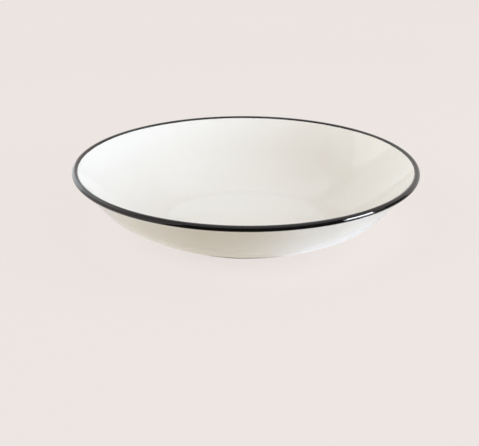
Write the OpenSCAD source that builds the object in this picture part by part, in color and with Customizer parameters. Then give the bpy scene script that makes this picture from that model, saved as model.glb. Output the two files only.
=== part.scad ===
// Deep plate: a fired porcelain body, three coats of clear glaze and a black band round the lip.
// The origin is the centre of the foot ring's standing face, and +Z points up out of the well.
// Every solid is a figure of revolution about Z, drawn as an outline of [radius, height] points.

/* [Plate] */
// Diameter over the lip
plate_d = 220; // [200:1:260]
// Height from the table to the top of the lip
plate_h = 41.4; // [36:0.2:50]
// Thickness of the rounded lip, measured over the band
lip_t = 3.85; // [3:0.05:5]

/* [Eating face] */
// Diameter of the flat floor of the well
floor_d = 100; // [80:1:106]
// Height of the floor of the well above the table
floor_h = 5; // [4.6:0.1:6.4]
// Slope of the wall's inner face where it meets the lip, in degrees
inner_lip_slope = 50; // [44:1:58]
// How far the floor's level direction reaches into the wall's curve
floor_pull = 12; // [6:0.5:20]
// How far the lip's direction reaches down the inner face
inner_lip_pull = 30; // [20:0.5:36]

/* [Underside] */
// Slope of the underside where it leaves the foot ring, in degrees
under_foot_slope = 16.5; // [12:0.5:20]
// Slope of the underside where it meets the lip, in degrees
under_lip_slope = 41; // [36:1:48]
// How far the slope at the foot ring reaches up the underside
under_foot_pull = 37.8; // [28:0.2:44]
// How far the lip's direction reaches down the underside
under_lip_pull = 24; // [16:1:32]
// How far outside the floor's edge the underside may start to climb
climb_gap = 7.1; // [5:0.1:9]

/* [Foot ring] */
// Outer diameter of the foot ring
foot_d = 112.6; // [108:0.2:118]
// Height of the foot ring's outer side, up to the wall's underside
foot_h = 2.1; // [1.9:0.1:2.6]
// Width of the foot ring from its outer side to its inner side
foot_w = 5; // [4:0.1:7]
// Radius of the foot ring's two lower corners
foot_corner_r = 0.6; // [0.4:0.05:0.65]
// Radius of the hollow where the foot ring's outer side meets the wall
foot_fillet_r = 0.8; // [0.6:0.05:1]
// Depth of the recess inside the foot ring, at its edge
recess_depth = 1.9; // [1.8:0.05:2.2]
// How far the middle of the recess rises above its edge
recess_rise = 0.25; // [0.1:0.05:0.4]
// Radius of the hollow where the foot ring's inner side meets the recess
recess_fillet_r = 0.7; // [0.6:0.05:0.75]

/* [Glaze] */
// Thickness of the clear glaze
glaze_t = 0.3; // [0.15:0.05:0.5]
// Thickness of the black band
band_t = 0.35; // [0.2:0.05:0.6]
// Height above the table at which the glaze is wiped off the foot ring
wiped_h = 0.9; // [0.75:0.05:1]

/* [Hidden] */
// Steps along each long curve of the wall, round the lip and round each small corner
wall_steps = 24;
lip_steps = 27;
corner_steps = 5;
// Facets of a full turn
$fn = 180;

// Directions in the section, in degrees from outward towards upward
outward = 0;
up = 90;
inward = 180;
down = 270;
full_turn = 360;

floor_r = floor_d / 2;
foot_r = foot_d / 2;
foot_inner_r = foot_r - foot_w;
// The body's own floor lies under the glaze, and its lip under the band
body_floor_h = floor_h - glaze_t;
body_lip_r = lip_t / 2 - band_t;
lip_centre = [plate_d / 2 - lip_t / 2, plate_h - lip_t / 2];
// The wall's inner face meets the lip at this angle about the lip's centre, its underside at the other
lip_inner_angle = up + inner_lip_slope;
lip_under_angle = down - full_turn + under_lip_slope;

// The hollow between foot ring and wall touches the ring's outer side and the wall's lower end
foot_fillet_centre = [
    foot_r + foot_fillet_r,
    foot_h + foot_fillet_r * (tan(under_foot_slope) - 1 / cos(under_foot_slope))
];
foot_fillet_angle = up + under_foot_slope;

// The underside climbs from the hollow outside the foot ring, or from further out where the floor
// reaches past the ring
climb_start = [
    max(foot_r + foot_fillet_r, floor_r + climb_gap),
    foot_h + foot_fillet_r * tan(under_foot_slope)
];

// Centres of the foot ring's two lower corners
foot_outer_corner = [foot_r - foot_corner_r, foot_corner_r];
foot_inner_corner = [foot_inner_r + foot_corner_r, foot_corner_r];

// The recess is a shallow dome that starts where the hollow at the foot ring's inner side ends. That
// hollow ends above the wiped line
recess_hollow_r = min(recess_fillet_r, recess_depth - wiped_h);
recess_fillet_centre = [foot_inner_r - recess_hollow_r, recess_depth - recess_hollow_r];
dome_edge_r = recess_fillet_centre[0];
dome_r = (pow(dome_edge_r, 2) + pow(recess_rise, 2)) / (2 * recess_rise);
dome_centre = [0, recess_depth + recess_rise - dome_r];
dome_edge_angle = acos(dome_edge_r / dome_r);

// A unit step in a direction
function heading(angle) = [cos(angle), sin(angle)];

// Paths run round the body from the axis over the lip to the axis below, with the body on their
// right. A path is a list of stops, and a stop is a point with the unit normal away from the body.
function stop(point, normal_angle) = [point, heading(normal_angle)];
function points(path) = [for (s = path) s[0]];
function lifted(path, coat) = [for (s = path) s[0] + coat * s[1]];
function backwards(list) = [for (i = [len(list) - 1 : -1 : 0]) list[i]];
// A path without its start, or without both its ends, where its neighbours already hold them
function past_start(path) = [for (i = [1 : len(path) - 1]) path[i]];
function between_ends(path) = [for (i = [1 : len(path) - 2]) path[i]];

// A round stretch: one that turns clockwise has the body inside the arc, and a hollow has it outside
function round_path(centre, radius, from, to, steps) = [
    for (i = [0 : steps])
        let (angle = from + (to - from) * i / steps)
            [centre + radius * heading(angle), sign(from - to) * heading(angle)]
];

// A long curve: a cubic Bezier that leaves one point in one direction and reaches the next in another
function bezier_point(p, t) =
    pow(1 - t, 3) * p[0] + 3 * pow(1 - t, 2) * t * p[1] + 3 * (1 - t) * pow(t, 2) * p[2] + pow(t, 3) * p[3];
function bezier_step(p, t) =
    pow(1 - t, 2) * (p[1] - p[0]) + 2 * (1 - t) * t * (p[2] - p[1]) + pow(t, 2) * (p[3] - p[2]);
function curve_path(start, start_angle, start_pull, end, end_angle, end_pull) =
    let (p = [start, start + start_pull * heading(start_angle), end - end_pull * heading(end_angle), end])
        [
            for (i = [0 : wall_steps])
                let (t = i / wall_steps, d = bezier_step(p, t) / norm(bezier_step(p, t)))
                    [bezier_point(p, t), [-d[1], d[0]]]
        ];

// The eating face, from the axis to the lip
eating_path = concat(
    [stop([0, body_floor_h], up)],
    curve_path([floor_r, body_floor_h], outward, floor_pull,
               lip_centre + body_lip_r * heading(lip_inner_angle), inner_lip_slope, inner_lip_pull)
);

// The rounded lip
lip_path = round_path(lip_centre, body_lip_r, lip_inner_angle, lip_under_angle, lip_steps);

// The underside of the wall, from the lip to the wiped line on the foot ring's outer side
under_path = concat(
    curve_path(lip_centre + body_lip_r * heading(lip_under_angle), inward + under_lip_slope, under_lip_pull,
               climb_start, inward + under_foot_slope, under_foot_pull),
    round_path(foot_fillet_centre, foot_fillet_r, foot_fillet_angle, inward, corner_steps),
    [stop([foot_r, wiped_h], outward)]
);

// The bare foot ring, round its two lower corners
foot_path = concat(
    round_path(foot_outer_corner, foot_corner_r, outward, down - full_turn, corner_steps),
    round_path(foot_inner_corner, foot_corner_r, down, inward, corner_steps)
);

// The recess, from the wiped line on the foot ring's inner side to the axis
recess_path = concat(
    [stop([foot_inner_r, wiped_h], inward)],
    round_path(recess_fillet_centre, recess_hollow_r, outward, up, corner_steps),
    past_start(round_path(dome_centre, dome_r, dome_edge_angle, up, corner_steps))
);

// A coat of even thickness over a path
module coat(path, thickness) {
    rotate_extrude()
        polygon(concat(points(path), backwards(lifted(path, thickness))));
}

// Fired body with its foot ring
module porcelain_body() {
    color("#d9cdb8")
        rotate_extrude()
            polygon(concat(
                points(eating_path),
                points(between_ends(lip_path)),
                points(under_path),
                points(foot_path),
                points(recess_path)
            ));
}

// Clear glaze over the eating face, up to the band
module inner_glaze() {
    color("#f1eee6")
        coat(eating_path, glaze_t);
}

// Clear glaze over the underside, from the band down to the wiped line
module outer_glaze() {
    color("#e6e1d8")
        coat(under_path, glaze_t);
}

// Clear glaze over the recess inside the foot ring
module base_glaze() {
    color("#e3ded4")
        coat(recess_path, glaze_t);
}

// Black glaze over the lip
module rim_band() {
    color("#0d0c0b")
        coat(lip_path, band_t);
}

porcelain_body();
inner_glaze();
outer_glaze();
base_glaze();
rim_band();
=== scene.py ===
import math

import bmesh
import bpy
from mathutils import Matrix, Vector, noise
from mathutils.geometry import interpolate_bezier


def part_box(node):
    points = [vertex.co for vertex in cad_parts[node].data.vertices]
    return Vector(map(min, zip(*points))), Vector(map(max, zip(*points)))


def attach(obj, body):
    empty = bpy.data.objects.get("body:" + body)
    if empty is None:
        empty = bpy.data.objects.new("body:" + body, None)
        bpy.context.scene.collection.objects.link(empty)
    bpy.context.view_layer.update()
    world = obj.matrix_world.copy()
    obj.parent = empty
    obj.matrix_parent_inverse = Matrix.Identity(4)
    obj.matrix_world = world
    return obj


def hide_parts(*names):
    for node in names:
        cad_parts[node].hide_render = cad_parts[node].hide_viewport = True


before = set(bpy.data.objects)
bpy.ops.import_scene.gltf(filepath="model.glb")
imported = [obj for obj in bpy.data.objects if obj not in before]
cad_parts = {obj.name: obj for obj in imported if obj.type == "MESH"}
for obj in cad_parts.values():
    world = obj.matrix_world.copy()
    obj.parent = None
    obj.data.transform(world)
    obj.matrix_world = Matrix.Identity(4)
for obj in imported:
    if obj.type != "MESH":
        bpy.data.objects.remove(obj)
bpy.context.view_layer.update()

MM = 0.001

# Directions in the plate's section, in degrees from outward towards upward
OUTWARD = 0
UP = 90
INWARD = 180
DOWN = 270
FULL_TURN = 360

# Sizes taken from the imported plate
PLATE_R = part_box("rim_band")[1].x
PLATE_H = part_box("rim_band")[1].z
WIPED_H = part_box("outer_glaze")[0].z
BODY_FLOOR_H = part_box("inner_glaze")[0].z
FOOT_INNER_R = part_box("base_glaze")[1].x
RECESS_TOP_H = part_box("base_glaze")[1].z

# The lip and the two faces of the wall, as the plate's maker turns them, with slopes in degrees. A
# pull is how far the direction at an end reaches into the wall's curve
LIP_T = 3.85 * MM
BAND_T = 0.35 * MM
GLAZE_T = 0.3 * MM
FLOOR_R = 50 * MM
FLOOR_PULL = 12 * MM
INNER_LIP_SLOPE = 50
INNER_LIP_PULL = 30 * MM
UNDER_LIP_SLOPE = 41
UNDER_LIP_PULL = 24 * MM
UNDER_FOOT_SLOPE = 16.5
UNDER_FOOT_PULL = 37.8 * MM

# The foot ring
FOOT_R = 56.3 * MM
FOOT_H = 2.1 * MM
FOOT_CORNER_R = 0.6 * MM
FOOT_FILLET_R = 0.8 * MM
RECESS_FILLET_R = 0.7 * MM
RECESS_RISE = 0.25 * MM

# How far the clear glaze runs on under the band, and how far the brush carried the band past the
# lip's round onto the wall's inner face, in degrees about the lip's centre
LAP_UNDER_BAND = 20
BAND_LAP = 8
# The band's edges wander by about this much, as a brush lays them on a turning wheel. A higher power
# keeps the wander nearer to the edges
BAND_WANDER = 0.13 * MM
BAND_SWINGS = 3
BAND_EDGE_POWER = 5
# So does the line where a sponge wiped the glaze off the foot ring, up to the given height
WIPE_WANDER = 0.12 * MM
WIPE_SWINGS = 6
WIPE_HOLD_H = 1.2 * MM
# A finer wander lies over both, as a share of the slow one and with more swings to a turn
FINE_WANDER = 0.4
FINE_SWINGS = 4.3

# The flat floor has points at these shares of its radius
FLOOR_STOPS = (0, 0.25, 0.5, 0.75, 0.93)
WALL_STEPS = 56
LIP_STEPS = 40
CORNER_STEPS = 8
DOME_STEPS = 16
BEAD_STEPS = 6
# A sector is spun in steps, and doubled this many times to make the full turn
SECTOR_STEPS = 45
DOUBLINGS = 3
# Points of an outline, and vertices of a spun mesh, that are nearer to each other than this are one
SAME_POINT = 0.001 * MM
SAME_VERTEX = 0.0005 * MM
# Edges that bend further than this, in degrees, are shown sharp
SHARP_BEND = 50

PLATE_AXIS = (0, 0, 1)
ORIGIN = (0, 0, 0)

LIP_CENTRE = Vector((PLATE_R - LIP_T / 2, PLATE_H - LIP_T / 2))
BODY_LIP_R = LIP_T / 2 - BAND_T
# The wall's inner face meets the lip at this angle about the lip's centre, its underside at the other
LIP_INNER_ANGLE = UP + INNER_LIP_SLOPE
LIP_UNDER_ANGLE = DOWN - FULL_TURN + UNDER_LIP_SLOPE


def heading(degrees):
    """A unit step in the plate's section, from outward towards upward."""
    return Vector((math.cos(math.radians(degrees)), math.sin(math.radians(degrees))))


def arc(centre, radius, first, last, steps):
    """A round stretch of an outline, from one angle about its centre to another."""
    return [centre + radius * heading(first + (last - first) * i / steps) for i in range(steps + 1)]


def curve(start, start_angle, start_pull, end, end_angle, end_pull, steps):
    """A long bend of an outline, which leaves and arrives in given directions."""
    first_handle = start + start_pull * heading(start_angle)
    last_handle = end - end_pull * heading(end_angle)
    return interpolate_bezier(start, first_handle, last_handle, end, steps + 1)


def lifted(path, depth):
    """A path moved off the body along its own normals; the body lies on the path's right."""
    out = []
    for i, point in enumerate(path):
        run = path[min(i + 1, len(path) - 1)] - path[max(i - 1, 0)]
        out.append(point + depth * Vector((-run.y, run.x)).normalized())
    return out


def merged(points):
    """An outline without points that repeat."""
    return [p for i, p in enumerate(points) if i == 0 or (p - points[i - 1]).length > SAME_POINT]


def backwards(path):
    return list(reversed(path))


# The body's faces, as paths that follow one another from the axis over the lip to the axis below
eating_path = merged(
    [Vector((share * FLOOR_R, BODY_FLOOR_H)) for share in FLOOR_STOPS]
    + curve(
        Vector((FLOOR_R, BODY_FLOOR_H)), OUTWARD, FLOOR_PULL,
        LIP_CENTRE + BODY_LIP_R * heading(LIP_INNER_ANGLE), INNER_LIP_SLOPE, INNER_LIP_PULL,
        WALL_STEPS,
    )
)
lip_path = arc(LIP_CENTRE, BODY_LIP_R, LIP_INNER_ANGLE, LIP_UNDER_ANGLE, LIP_STEPS)

# The hollow between foot ring and wall touches the ring's outer side and the wall's lower end
foot_slope = math.radians(UNDER_FOOT_SLOPE)
climb_start = Vector((FOOT_R + FOOT_FILLET_R, FOOT_H + FOOT_FILLET_R * math.tan(foot_slope)))
foot_fillet_centre = climb_start - Vector((0, FOOT_FILLET_R / math.cos(foot_slope)))
under_path = merged(
    curve(
        LIP_CENTRE + BODY_LIP_R * heading(LIP_UNDER_ANGLE), INWARD + UNDER_LIP_SLOPE, UNDER_LIP_PULL,
        climb_start, INWARD + UNDER_FOOT_SLOPE, UNDER_FOOT_PULL,
        WALL_STEPS,
    )
    + arc(foot_fillet_centre, FOOT_FILLET_R, UP + UNDER_FOOT_SLOPE, INWARD, CORNER_STEPS)
    + [Vector((FOOT_R, WIPED_H))]
)

outer_corner = Vector((FOOT_R - FOOT_CORNER_R, FOOT_CORNER_R))
inner_corner = Vector((FOOT_INNER_R + FOOT_CORNER_R, FOOT_CORNER_R))
foot_path = (
    arc(outer_corner, FOOT_CORNER_R, OUTWARD, DOWN - FULL_TURN, CORNER_STEPS)
    + arc(inner_corner, FOOT_CORNER_R, DOWN, INWARD, CORNER_STEPS)
)

# The recess is a shallow dome that starts where the hollow at the ring's inner side ends
recess_edge_h = RECESS_TOP_H - RECESS_RISE
recess_fillet_centre = Vector((FOOT_INNER_R - RECESS_FILLET_R, recess_edge_h - RECESS_FILLET_R))
dome_edge = recess_fillet_centre.x
dome_r = (dome_edge ** 2 + RECESS_RISE ** 2) / (2 * RECESS_RISE)
dome_centre = Vector((0, RECESS_TOP_H - dome_r))
dome_edge_angle = math.degrees(math.acos(dome_edge / dome_r))
recess_path = merged(
    [Vector((FOOT_INNER_R, WIPED_H))]
    + arc(recess_fillet_centre, RECESS_FILLET_R, OUTWARD, UP, CORNER_STEPS)
    + arc(dome_centre, dome_r, dome_edge_angle, UP, DOME_STEPS)
)


def bead(path_end, outer_end, depth):
    """The rounded edge in which a coat ends, from the body's surface out to the coat's face."""
    across = outer_end - path_end
    along = Vector((across.y, -across.x)).normalized()
    points = []
    for i in range(BEAD_STEPS + 1):
        turn = math.radians(UP) * i / BEAD_STEPS
        points.append(path_end + across * math.sin(turn) - along * depth * (1 - math.cos(turn)))
    return points


def body_outline():
    return merged(eating_path + lip_path[1:-1] + under_path + foot_path + recess_path)


def inner_glaze_outline():
    lap = arc(LIP_CENTRE, BODY_LIP_R, LIP_INNER_ANGLE, LIP_INNER_ANGLE - LAP_UNDER_BAND, CORNER_STEPS)
    path = merged(eating_path + lap)
    return path + backwards(lifted(path, GLAZE_T))


def outer_glaze_outline():
    lap = arc(LIP_CENTRE, BODY_LIP_R, LIP_UNDER_ANGLE + LAP_UNDER_BAND, LIP_UNDER_ANGLE, CORNER_STEPS)
    path = merged(lap + under_path)
    face = lifted(path, GLAZE_T)
    end = bead(path[-1], face[-1], GLAZE_T)
    return path[:-1] + end + backwards(face[:-1])


def base_glaze_outline():
    face = lifted(recess_path, GLAZE_T)
    face[-1].x = 0
    start = backwards(bead(recess_path[0], face[0], -GLAZE_T))
    return recess_path[1:] + backwards(face[1:]) + start


def band_outline():
    first = LIP_INNER_ANGLE + BAND_LAP
    path = arc(LIP_CENTRE, BODY_LIP_R, first, LIP_UNDER_ANGLE, LIP_STEPS)
    face = arc(LIP_CENTRE, BODY_LIP_R + BAND_T, first, LIP_UNDER_ANGLE, LIP_STEPS)
    return path + backwards(face)


def placed(name, data):
    """A new object in the scene, at the origin."""
    made = bpy.data.objects.new(name, data)
    bpy.context.scene.collection.objects.link(made)
    return made


def meshed(name, bm):
    """A finished bmesh as an object in the scene."""
    mesh = bpy.data.meshes.new(name)
    bm.to_mesh(mesh)
    bm.free()
    return placed(name, mesh)


def spin(bm, parts, angle, steps):
    """Spins vertices and edges into faces about the plate's axis."""
    bmesh.ops.spin(
        bm, geom=parts, cent=ORIGIN, axis=PLATE_AXIS, dvec=(0, 0, 0),
        angle=angle, steps=steps, use_merge=False, use_duplicate=False,
    )


def turned(name, outline, adjust=None):
    """A closed outline of (radius, height) points, turned about the plate's axis."""
    bm = bmesh.new()
    ring = [bm.verts.new((p.x, 0, p.y)) for p in outline]
    # A stretch along the axis itself makes no faces
    edges = [bm.edges.new((a, b)) for a, b in zip(ring, ring[1:] + ring[:1]) if a.co.x + b.co.x > 0]
    sector = math.tau / 2 ** DOUBLINGS
    spin(bm, ring + edges, sector, SECTOR_STEPS)
    for i in range(DOUBLINGS):
        copied = bmesh.ops.duplicate(bm, geom=bm.verts[:] + bm.edges[:] + bm.faces[:])["geom"]
        verts = [part for part in copied if isinstance(part, bmesh.types.BMVert)]
        bmesh.ops.rotate(bm, verts=verts, cent=ORIGIN, matrix=Matrix.Rotation(sector * 2 ** i, 3, "Z"))
    bmesh.ops.remove_doubles(bm, verts=bm.verts, dist=SAME_VERTEX)
    bmesh.ops.recalc_face_normals(bm, faces=bm.faces)
    for face in bm.faces:
        face.smooth = True
    if adjust:
        for vert in bm.verts:
            vert.co = adjust(vert.co)
    piece = meshed(name, bm)
    piece.data.set_sharp_from_angle(angle=math.radians(SHARP_BEND))
    return piece


def wander(at, swings):
    """A slow unevenness round the plate, about zero and seldom past 1; more swings make it faster."""
    around = swings * Vector((at.x, at.y, 0)).normalized()
    return noise.noise(around) + FINE_WANDER * noise.noise(FINE_SWINGS * around)


def brush_edge(at):
    """Moves the band's two edges a little along the lip."""
    radial = math.hypot(at.x, at.y)
    arm = Vector((radial, at.z)) - LIP_CENTRE
    angle = math.degrees(math.atan2(arm.y, arm.x))
    middle = (LIP_INNER_ANGLE + LIP_UNDER_ANGLE) / 2
    share = (angle - middle) / (LIP_INNER_ANGLE - middle)
    reach = math.degrees(BAND_WANDER / (LIP_T / 2))
    shift = reach * wander(at, BAND_SWINGS) * share ** BAND_EDGE_POWER
    point = LIP_CENTRE + arm.length * heading(angle + shift)
    return Vector((at.x * point.x / radial, at.y * point.x / radial, point.y))


def wiped_edge(at):
    """Moves the free edge of a coat a little up or down the foot ring's side."""
    share = min(1, max(0, (WIPE_HOLD_H - at.z) / (WIPE_HOLD_H - WIPED_H)))
    return at + Vector((0, 0, WIPE_WANDER * share * wander(at, WIPE_SWINGS)))


def build_plate():
    """One piece for each node of the plate."""
    return {
        "porcelain_body": turned("fired_body", body_outline()),
        "inner_glaze": turned("inner_coat", inner_glaze_outline()),
        "outer_glaze": turned("outer_coat", outer_glaze_outline(), wiped_edge),
        "base_glaze": turned("base_coat", base_glaze_outline(), wiped_edge),
        "rim_band": turned("lip_band", band_outline(), brush_edge),
    }


# The Mix node's sockets for colours, which have the same names as its sockets for numbers
MIX_SHARE = 0
MIX_FIRST = 6
MIX_SECOND = 7
MIX_COLOUR = 2


class Nodes:
    """A node tree and the few moves that the finishes and the room share."""

    def __init__(self, tree):
        self.tree = tree

    def add(self, kind, **settings):
        made = self.tree.nodes.new(kind)
        for key, value in settings.items():
            setattr(made, key, value)
        return made

    def put(self, value, target):
        """Links an output to an input, or writes a plain number or colour into it."""
        if isinstance(value, bpy.types.NodeSocket):
            self.tree.links.new(value, target)
        elif isinstance(value, tuple):
            target.default_value = (*value, 1)
        else:
            target.default_value = value

    def maths(self, kind, first, second=0.0):
        made = self.add("ShaderNodeMath", operation=kind)
        self.put(first, made.inputs[0])
        self.put(second, made.inputs[1])
        return made.outputs[0]

    def tint(self, share, first, second):
        """A colour that goes from the first to the second with a share."""
        made = self.add("ShaderNodeMix", data_type="RGBA")
        self.put(share, made.inputs[MIX_SHARE])
        self.put(first, made.inputs[MIX_FIRST])
        self.put(second, made.inputs[MIX_SECOND])
        return made.outputs[MIX_COLOUR]

    def seen(self):
        """1 for the rays that show the background, straight or mirrored, and 0 for those that light."""
        rays = self.add("ShaderNodeLightPath").outputs
        shown = self.maths("MAXIMUM", rays["Is Camera Ray"], rays["Is Glossy Ray"])
        return self.maths("MAXIMUM", shown, rays["Is Transmission Ray"])


class Finish(Nodes):
    """A material, with patterns that lie still on the piece that has it."""

    def __init__(self, name):
        self.material = bpy.data.materials.new(name)
        self.material.use_nodes = True
        super().__init__(self.material.node_tree)
        self.shader = self.tree.nodes["Principled BSDF"]
        self.place = self.add("ShaderNodeTexCoord").outputs["Object"]

    def noise(self, size, detail=2.0, rough=0.5, place=None):
        """A cloudy pattern whose patches are about the given size across, from 0 to 1."""
        made = self.add("ShaderNodeTexNoise")
        self.put(1 / size, made.inputs["Scale"])
        self.put(detail, made.inputs["Detail"])
        self.put(rough, made.inputs["Roughness"])
        self.put(place or self.place, made.inputs["Vector"])
        return made.outputs["Fac"]

    def spread(self, source, low, high, to_low=0.0, to_high=1.0):
        """A value mapped from one range to another, smoothly and held at the ends."""
        made = self.add("ShaderNodeMapRange", interpolation_type="SMOOTHSTEP")
        self.put(source, made.inputs["Value"])
        self.put(low, made.inputs["From Min"])
        self.put(high, made.inputs["From Max"])
        self.put(to_low, made.inputs["To Min"])
        self.put(to_high, made.inputs["To Max"])
        return made.outputs["Result"]

    def split(self):
        """The place's own X, Y and Z."""
        made = self.add("ShaderNodeSeparateXYZ")
        self.put(self.place, made.inputs[0])
        return made.outputs

    def radius(self):
        """Distance from the plate's axis."""
        axes = self.split()
        squares = [self.maths("POWER", axes[name], 2.0) for name in ("X", "Y")]
        return self.maths("SQRT", self.maths("ADD", *squares))

    def along_radius(self):
        """A place that changes with the radius alone, for marks that run round the plate."""
        made = self.add("ShaderNodeCombineXYZ")
        self.put(self.radius(), made.inputs["X"])
        return made.outputs[0]

    def relief(self, pattern, depth, below=None):
        """Raises the surface by a pattern times a depth in metres."""
        made = self.add("ShaderNodeBump")
        self.put(1.0, made.inputs["Strength"])
        self.put(depth, made.inputs["Distance"])
        self.put(pattern, made.inputs["Height"])
        if below:
            self.put(below, made.inputs["Normal"])
        return made.outputs["Normal"]

    def surface(self, colour, roughness, normal=None):
        """Gives the shader its colour, its roughness and, where it isn't flat, its normal."""
        self.put(colour, self.shader.inputs["Base Color"])
        self.put(roughness, self.shader.inputs["Roughness"])
        if normal:
            self.put(normal, self.shader.inputs["Normal"])

    def matt(self, colour, roughness):
        """A plain surface that has no gloss at all."""
        self.surface(colour, roughness)
        self.put(0.0, self.shader.inputs["Specular IOR Level"])

    def glow(self, colour, strength=1.0):
        """A light of its own in a colour, where a strength of 1 shows the colour as it is."""
        made = self.add("ShaderNodeEmission")
        self.put(colour, made.inputs["Color"])
        self.put(strength, made.inputs["Strength"])
        return made.outputs[0]

    def show(self, look):
        """Makes the material show this in place of its plain shader."""
        self.put(look, self.tree.nodes["Material Output"].inputs["Surface"])


GLAZE_WHITE = (0.84, 0.825, 0.79)
GLAZE_DEEP = (0.82, 0.80, 0.755)
# The underside's colours: painted shade under the lip, and painted light from the table near the foot
UNDERSIDE_PAINTED_SHADE = (0.72, 0.68, 0.615)
UNDERSIDE_PAINTED_BOUNCE = (0.88, 0.865, 0.825)
GLAZE_IOR = 1.5
# The middle of a noise's range, where most of its patches lie
NOISE_MIDDLE = (0.3, 0.7)

# The clear glaze's patterns: how large their patches are, and how deep the relief is that they raise
GLOSS_SIZE = 9 * MM
GLOSS_ROUGHNESS = (0.015, 0.035)
WAVE_SIZE = 30 * MM
WAVE_DEPTH = 0.03 * MM
SKIN_SIZE = 3.2 * MM
SKIN_DEPTH = 0.0012 * MM
RING_SIZE = 7 * MM
# The turning rings show through each coat to a depth of its own
INNER_RING_DEPTH = 0.002 * MM
OUTER_RING_DEPTH = 0.004 * MM
BASE_RING_DEPTH = 0.02 * MM

# Faint clouds of the deeper colour
CLOUD_SIZE = 34 * MM
CLOUD_RANGE = (0.35, 0.65)
CLOUD_SHARE = 0.35
# The radii between which the glaze deepens in colour, on the eating face and in the recess
INNER_DEEPENING = (0.8 * FLOOR_R, 1.2 * FLOOR_R)
BASE_DEEPENING = (0.8 * FLOOR_R, FLOOR_R)
# Underside: painted shade darkens the glaze above the first height; it is lighter below the second
PAINTED_SHADE_H = 34 * MM
PAINTED_BOUNCE_H = 8 * MM


def clear_glaze(name, colour_of, ring_depth):
    """Glossy warm white glaze with slow waves, turning rings and the fine skin of a fired coat."""
    finish = Finish(name)
    gloss = finish.spread(finish.noise(GLOSS_SIZE, detail=3), *NOISE_MIDDLE, *GLOSS_ROUGHNESS)
    waves = finish.relief(finish.noise(WAVE_SIZE, detail=1), WAVE_DEPTH)
    ringed = finish.noise(RING_SIZE, detail=1, place=finish.along_radius())
    rings = finish.relief(ringed, ring_depth, waves)
    skin = finish.relief(finish.noise(SKIN_SIZE, detail=1), SKIN_DEPTH, rings)
    finish.surface(colour_of(finish), gloss, skin)
    finish.put(GLAZE_IOR, finish.shader.inputs["IOR"])
    return finish.material


def deepening_colour(inside, outside):
    """White in the middle and a little deeper further out, between two radii, with faint clouds."""
    def colour_of(finish):
        outward = finish.spread(finish.radius(), inside, outside)
        clouds = finish.spread(finish.noise(CLOUD_SIZE), *CLOUD_RANGE, 0.0, CLOUD_SHARE)
        return finish.tint(finish.maths("MAXIMUM", outward, clouds), GLAZE_WHITE, GLAZE_DEEP)
    return colour_of


def painted_underside_shade(finish):
    """Painted shade: darker and warmer below the lip, and lighter near the foot, where more light comes up.
    """
    return finish.tint(finish.spread(finish.split()["Z"], PAINTED_SHADE_H, PAINTED_BOUNCE_H), UNDERSIDE_PAINTED_SHADE, UNDERSIDE_PAINTED_BOUNCE)


BAND_BLACK = (0.003, 0.003, 0.0032)
BAND_STREAK = (0.006, 0.0055, 0.005)
STREAK_SIZE = 1.4 * MM
STREAK_RANGE = (0.3, 0.8)
BAND_GLOSS_SIZE = 6 * MM
BAND_ROUGHNESS = (0.03, 0.06)
BAND_WAVE_SIZE = 7 * MM
BAND_WAVE_DEPTH = 0.004 * MM


def black_glaze():
    """The band's black glaze, with faint warmer streaks and a slightly uneven gloss."""
    finish = Finish("black_band_glaze")
    streaks = finish.spread(finish.noise(STREAK_SIZE, detail=3), *STREAK_RANGE)
    gloss = finish.spread(finish.noise(BAND_GLOSS_SIZE), *NOISE_MIDDLE, *BAND_ROUGHNESS)
    waves = finish.relief(finish.noise(BAND_WAVE_SIZE), BAND_WAVE_DEPTH)
    finish.surface(finish.tint(streaks, BAND_BLACK, BAND_STREAK), gloss, waves)
    finish.put(GLAZE_IOR, finish.shader.inputs["IOR"])
    return finish.material


BARE_WHITE = (0.70, 0.66, 0.58)
BARE_WORN = (0.60, 0.55, 0.47)
GRAIN_SIZE = 0.5 * MM
GRAIN_DEPTH = 0.03 * MM
GRAIN_RANGE = (0.35, 0.7)
# The standing face is rubbed smoother, and the ring gets rougher between these heights
RUBBED_SPAN = (0.02 * MM, 0.3 * MM)
BARE_ROUGHNESS = (0.5, 0.8)


def bare_porcelain():
    """The unglazed standing edge of the foot ring."""
    finish = Finish("bare_porcelain")
    grain = finish.noise(GRAIN_SIZE, detail=4, rough=0.6)
    colour = finish.tint(finish.spread(grain, *GRAIN_RANGE), BARE_WHITE, BARE_WORN)
    rubbed = finish.spread(finish.split()["Z"], *RUBBED_SPAN, *BARE_ROUGHNESS)
    finish.surface(colour, rubbed, finish.relief(grain, GRAIN_DEPTH))
    return finish.material


def dress(plate):
    """Gives each piece its finish and its place in the frame."""
    inner_colour = deepening_colour(*INNER_DEEPENING)
    base_colour = deepening_colour(*BASE_DEEPENING)
    finishes = {
        "porcelain_body": bare_porcelain(),
        "inner_glaze": clear_glaze("inner_clear_glaze", inner_colour, INNER_RING_DEPTH),
        "outer_glaze": clear_glaze("outer_clear_glaze", painted_underside_shade, OUTER_RING_DEPTH),
        "base_glaze": clear_glaze("base_clear_glaze", base_colour, BASE_RING_DEPTH),
        "rim_band": black_glaze(),
    }
    for node, piece in plate.items():
        piece.data.materials.append(finishes[node])
        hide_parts(node)
        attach(piece, "root")


# The camera's place, fitted to the rim's outline in the photograph
CAMERA_PLACE = Vector((0, -0.93843, 0.35677))
CAMERA_AIM = Vector((-0.00395, 0, 0.00228))
CAMERA_ROLL = math.radians(0.235)
CAMERA_LENS = 117.11
SENSOR_W = 36


def aimed(place, aim, roll=0.0):
    """How a camera or a light stands at a place, turned towards its aim."""
    look = (Vector(aim) - Vector(place)).to_track_quat("-Z", "Y").to_matrix().to_4x4()
    return Matrix.Translation(place) @ look @ Matrix.Rotation(roll, 4, "Z")


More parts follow.
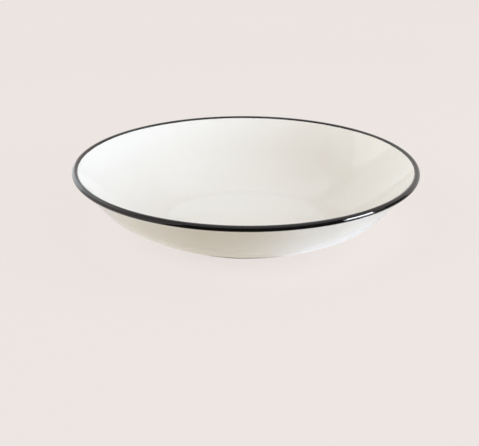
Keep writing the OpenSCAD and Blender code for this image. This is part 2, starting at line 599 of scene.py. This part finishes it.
def add_camera():
    data = bpy.data.cameras.new("camera")
    data.lens = CAMERA_LENS
    data.sensor_width = SENSOR_W
    data.sensor_fit = "HORIZONTAL"
    camera = placed("camera", data)
    camera.matrix_world = aimed(CAMERA_PLACE, CAMERA_AIM, CAMERA_ROLL)
    bpy.context.scene.camera = camera


def staged(name, bm):
    """A part of the stage, as an object in the scene."""
    made = meshed(name, bm)
    return made


# The backdrop's colour as it is seen, and the room's as it lights the plate
BACKDROP = (0.838, 0.776, 0.753)
ROOM = (0.545, 0.51, 0.46)
# The floor's paper as it lights the plate, and a whiter sheet right under the plate, which gives way to
# the paper between the two radii. The stage's sizes and places are in metres
PAPER = (0.68, 0.64, 0.55)
SHEET = (0.82, 0.78, 0.70)
SHEET_SPAN = (0.085, 0.119)
# The floor's colour as it is seen, and its share; the rest is the paper, which shows the shadow.
# Between the two radii the floor goes over into the backdrop's colour alone
FLOOR_GLOW = (0.874, 0.815, 0.796)
FLOOR_GLOW_SHARE = 0.85
STAGE_SPAN = (0.35, 0.7)
# The floor lies a hair below the foot ring's face, and reaches out of sight
FLOOR_H = -0.02 * MM
FLOOR_REACH = 6
FLOOR_CELLS = 8
FLOOR_ROUGHNESS = 0.9


def add_floor():
    """Pale paper that takes the plate's shadow, seen mostly in a colour near the backdrop's."""
    bm = bmesh.new()
    bmesh.ops.create_grid(bm, x_segments=FLOOR_CELLS, y_segments=FLOOR_CELLS, size=FLOOR_REACH)
    bmesh.ops.translate(bm, verts=bm.verts, vec=(0, 0, FLOOR_H))
    floor = staged("floor", bm)
    finish = Finish("floor_paper")
    paper = finish.tint(finish.spread(finish.radius(), *SHEET_SPAN), SHEET, PAPER)
    finish.matt(paper, FLOOR_ROUGHNESS)
    beyond = finish.spread(finish.radius(), *STAGE_SPAN)
    share = finish.spread(beyond, 0.0, 1.0, FLOOR_GLOW_SHARE, 1.0)
    mix = finish.add("ShaderNodeMixShader")
    finish.put(finish.maths("MULTIPLY", finish.seen(), share), mix.inputs[0])
    finish.put(finish.shader.outputs[0], mix.inputs[1])
    finish.put(finish.glow(finish.tint(beyond, FLOOR_GLOW, BACKDROP)), mix.inputs[2])
    finish.show(mix.outputs[0])
    floor.data.materials.append(finish.material)


# Facets along a card's sweep
CARD_STEPS = 48


def swept(name, across, first, last):
    """A thin card swept about the plate's axis, from a pair of (radius, height) points.

    It goes from the first azimuth to the last, in degrees from the plate's right towards its rear.
    """
    bm = bmesh.new()
    start = math.radians(first)
    ends = [bm.verts.new((r * math.cos(start), r * math.sin(start), z)) for r, z in across]
    spin(bm, ends + [bm.edges.new(ends)], math.radians(last - first), CARD_STEPS)
    return staged(name, bm)


def only_mirrored(card):
    """Keeps a card out of the picture and out of the light, so that it shows in the glazes alone."""
    card.visible_camera = False
    card.visible_diffuse = False
    card.visible_shadow = False


# The dark part of the room, in the directions in which the band mirrors it: the first and last azimuth
# of each card, with the inner radius of a dark stretch of floor or the height of a screen
FLOOR_FLAGS = ((-125, -38, 0.112), (-38, 15, 0.15))
SCREENS = ((-128, -28, 0.5), (3, 27, 0.26))
FLAG_H = 1 * MM
FLAG_END_R = 1.0
SCREEN_R = 0.9
FLAG_BLACK = (0.05, 0.045, 0.04)
FLAG_ROUGHNESS = 1.0


def add_flags():
    """Nearly black cards round the front and the right, which only the glazes mirror, as painted dark
    reflections.
    """
    finish = Finish("flag_card")
    finish.matt(FLAG_BLACK, FLAG_ROUGHNESS)
    flags = []
    for i, (first, last, near) in enumerate(FLOOR_FLAGS):
        flags.append(swept("floor_flag_%d" % i, ((near, FLAG_H), (FLAG_END_R, FLAG_H)), first, last))
    for i, (first, last, height) in enumerate(SCREENS):
        flags.append(swept("screen_flag_%d" % i, ((SCREEN_R, FLAG_H), (SCREEN_R, height)), first, last))
    for flag in flags:
        flag.data.materials.append(finish.material)
        only_mirrored(flag)


def make_glow(card, finish, colour, strength):
    """Lets a card glow for the glazes alone."""
    finish.show(finish.glow(colour, strength))
    card.data.materials.append(finish.material)
    only_mirrored(card)


# The key's sheen on the table, painted as a glowing patch that only the glazes mirror: the corners of its
# patch as (x, y), above the flags
SHEEN_CORNERS = ((0.157, -0.0735), (0.128, -0.122), (0.946, -0.562), (1.08, -0.191))
SHEEN_H = 1.5 * MM
SHEEN_COLOUR = (0.9, 0.96, 1.0)
SHEEN_BRIGHT = 12.0


def add_sheen():
    """A painted reflection of the key's sheen on the table, a glowing patch that widens away from the
    band's highlight.
    """
    bm = bmesh.new()
    bm.faces.new([bm.verts.new((x, y, SHEEN_H)) for x, y in SHEEN_CORNERS])
    make_glow(staged("key_sheen", bm), Finish("sheen"), SHEEN_COLOUR, SHEEN_BRIGHT)


# The table's shine below the rim, painted as a glowing card that only the glazes mirror, from the foot ring
# out to a radius
TABLE_END_R = 0.105
TABLE_SHEEN_H = 0.5 * MM
TABLE_SWEEP = (-178, -2)
# Its colour in the middle of the front, at its two sides and at its two ends, and the places from which
# and up to which one colour goes over into the next: x for the sides, y for the ends
TABLE_MIDDLE = (0.56, 0.50, 0.43)
TABLE_LEFT = (0.74, 0.72, 0.68)
TABLE_RIGHT = (0.84, 0.86, 0.95)
TABLE_ENDS = (0.61, 0.595, 0.60)
TABLE_LEFT_X = (-0.02, -0.06)
TABLE_RIGHT_X = (0.005, 0.045)
TABLE_ENDS_Y = (0.0, -0.055)
TABLE_BRIGHT = 1.3


def add_table_sheen():
    """A painted reflection of the table's shine below the rim, which the glaze of the underside mirrors."""
    across = ((FOOT_R, TABLE_SHEEN_H), (TABLE_END_R, TABLE_SHEEN_H))
    card = swept("table_sheen", across, *TABLE_SWEEP)
    finish = Finish("table_sheen")
    axes = finish.split()
    right = finish.tint(finish.spread(axes["X"], *TABLE_RIGHT_X), TABLE_MIDDLE, TABLE_RIGHT)
    front = finish.tint(finish.spread(axes["X"], *TABLE_LEFT_X), right, TABLE_LEFT)
    colour = finish.tint(finish.spread(axes["Y"], *TABLE_ENDS_Y), TABLE_ENDS, front)
    make_glow(card, finish, colour, TABLE_BRIGHT)


# A glowing white card close to the plate, behind it on the left, a painted reflection for the band: its
# foot and its top as (radius, height), and its azimuths
SIDE_CARD_SPAN = ((0.35, 0.001), (0.35, 0.2))
SIDE_CARD_SWEEP = (123, 157)
SIDE_GLOW_COLOUR = (0.93, 0.975, 1.0)
SIDE_GLOW_BRIGHT = 2.05


def add_painted_side_glow():
    """A painted reflection: a glowing white card, which the left end of the band mirrors in its outer side.
    """
    card = swept("painted_side_glow", SIDE_CARD_SPAN, *SIDE_CARD_SWEEP)
    make_glow(card, Finish("painted_side_glow"), SIDE_GLOW_COLOUR, SIDE_GLOW_BRIGHT)


# The dimmer part of the ceiling, painted as a glowing card that only the glazes mirror: its lower and its
# upper edge as (radius, height), and its azimuths
CEILING_SPAN = ((1.52, 1.86), (0.16, 2.38))
CEILING_SWEEP = (125, 215)
CEILING_DIM = (0.42, 0.30, 0.20)
# Its four soft edges: along an axis, the place where the dimness starts and the place where it is full
CEILING_EDGES = (("Z", 1.86, 1.96), ("Z", 2.35, 1.96), ("Y", -0.8, -0.16), ("Y", 1.36, 1.04))


def add_ceiling_shade():
    """A painted reflection of the dimmer part of the ceiling, above the window, with soft edges."""
    card = swept("ceiling_shade", CEILING_SPAN, *CEILING_SWEEP)
    finish = Finish("ceiling_shade")
    axes = finish.split()
    dim = 1.0
    for axis, start, full in CEILING_EDGES:
        dim = finish.maths("MULTIPLY", dim, finish.spread(axes[axis], start, full))
    make_glow(card, finish, finish.tint(dim, BACKDROP, CEILING_DIM), 1.0)


def add_world():
    """A room that lights dimmer and warmer than the backdrop that is seen."""
    world = bpy.data.worlds.new("studio")
    bpy.context.scene.world = world
    world.use_nodes = True
    nodes = Nodes(world.node_tree)
    background = world.node_tree.nodes["Background"]
    nodes.put(nodes.tint(nodes.seen(), ROOM, BACKDROP), background.inputs["Color"])


def around(azimuth, elevation, far):
    """A place seen from the plate in a direction, at a distance; azimuth 0 is to the right."""
    flat = far * math.cos(math.radians(elevation))
    return (
        flat * math.cos(math.radians(azimuth)),
        flat * math.sin(math.radians(azimuth)),
        far * math.sin(math.radians(elevation)),
    )


def add_light(name, place, aim_h, size, bright, colour, lights=True, mirrored=True, round_face=False):
    """A flat studio light, aimed at a height on the plate's axis, with a face as bright as white at 1.

    Without lights it only shows in the glazes, and without mirrored it only lights.
    """
    data = bpy.data.lights.new(name, "AREA")
    data.shape = "DISK" if round_face else "RECTANGLE"
    data.size, data.size_y = size
    area = size[0] * size[1] * (math.pi / 4 if round_face else 1)
    data.energy = bright * area * math.pi
    data.color = colour
    light = placed(name, data)
    light.matrix_world = aimed(place, (0, 0, aim_h))
    light.visible_camera = False
    light.visible_diffuse = lights
    light.visible_glossy = mirrored


def add_lights():
    """The lamp's face and the window show in the glazes, and the key and the fills light the plate.

    The panes and the overhead light do both.
    """
    add_light(
        "lamp_face", around(azimuth=-18.5, elevation=5.5, far=1.2), aim_h=0.02, size=(0.5, 0.24), bright=48,
        colour=(0.93, 0.97, 1.0), lights=False,
    )
    add_light(
        "window", around(azimuth=158, elevation=32, far=1.9), aim_h=0.03, size=(1.25, 0.9), bright=0.82,
        colour=(1, 1, 1), lights=False,
    )
    add_light(
        "left_pane", around(azimuth=129, elevation=20, far=1.6), aim_h=0.04, size=(1.5, 1.05), bright=0.4,
        colour=(0.7, 0.92, 1.0),
    )
    add_light(
        "right_pane", around(azimuth=50, elevation=20, far=1.6), aim_h=0.04, size=(1.05, 0.95), bright=0.14,
        colour=(1, 1, 0.95),
    )
    add_light(
        "overhead", (0, 0.72, 1.46), aim_h=0, size=(1.5, 1.5), bright=0.67,
        colour=(0.69, 0.82, 1.0), round_face=True,
    )
    add_light(
        "key", around(azimuth=-16, elevation=7, far=1.2), aim_h=0.02, size=(0.46, 0.28), bright=15.8,
        colour=(0.62, 0.77, 0.94), mirrored=False,
    )
    add_light(
        "key_fill", (1.25, -0.1, 0.75), aim_h=0, size=(0.9, 0.7), bright=3.9,
        colour=(0.86, 0.93, 1.0), mirrored=False,
    )
    add_light(
        "right_fill", (1.0, -1.0, 0.38), aim_h=0, size=(0.9, 0.6), bright=3.8,
        colour=(0.60, 0.72, 1.0), mirrored=False,
    )
    add_light(
        "left_fill", (-1.4, 0, 0.16), aim_h=0.03, size=(1.2, 0.3), bright=5.2,
        colour=(0.80, 0.845, 0.92), mirrored=False,
    )
    add_light(
        "front_fill", (-1.15, -0.75, 1.05), aim_h=0, size=(0.8, 0.8), bright=3.25,
        colour=(1.0, 0.945, 0.83), mirrored=False,
    )


dress(build_plate())
add_camera()
add_floor()
add_flags()
add_sheen()
add_table_sheen()
add_painted_side_glow()
add_ceiling_shade()
add_world()
add_lights()

bpy.context.scene.view_settings.view_transform = "Standard"
